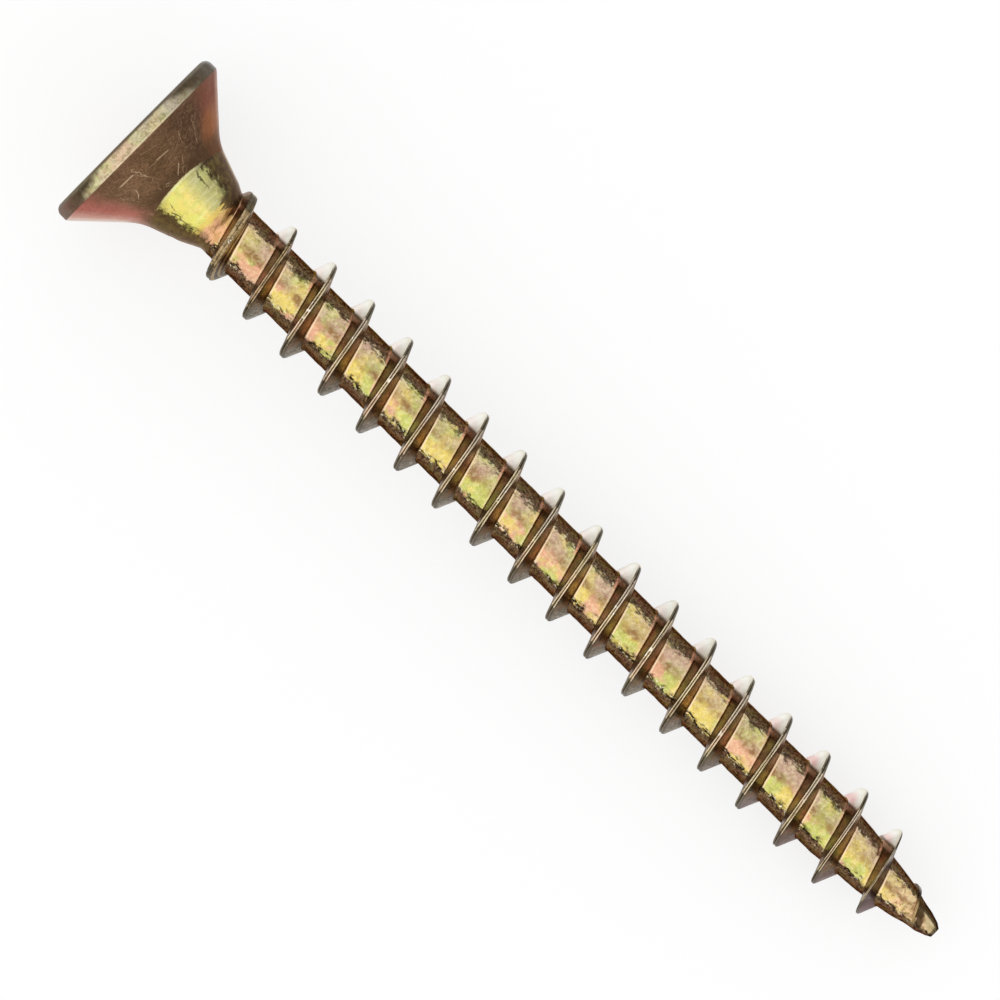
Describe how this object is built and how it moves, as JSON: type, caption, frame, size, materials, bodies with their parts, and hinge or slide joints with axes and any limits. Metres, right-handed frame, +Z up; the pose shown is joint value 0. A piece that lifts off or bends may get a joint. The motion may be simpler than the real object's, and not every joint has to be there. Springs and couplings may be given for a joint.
{
  "type": "self-tapping screw",
  "caption": "Countersunk self-tapping wood screw with a cross recess, a coarse full-length thread and a blunted gimlet point, in yellow zinc plate.",
  "frame": {"origin": "centre of the box's lowest face: the screw lies on the ground, touching it with the edge of its rim and with the last full turn of its thread", "axes": "the screw's axis runs from the head at -X to the point at +X and dips 3.2 degrees towards the point; +Z up; +Y is the side that the picture shows at the upper right"},
  "size_m": [0.0414, 0.0078, 0.0078],
  "materials": {
    "zinc_plated_steel": "yellow chromated zinc plate, mottled yellow, green and pink, with fine scratches and dark flanks"
  },
  "bodies": {
    "root": {"screw": "zinc_plated_steel"}
  },
  "joints": []
}
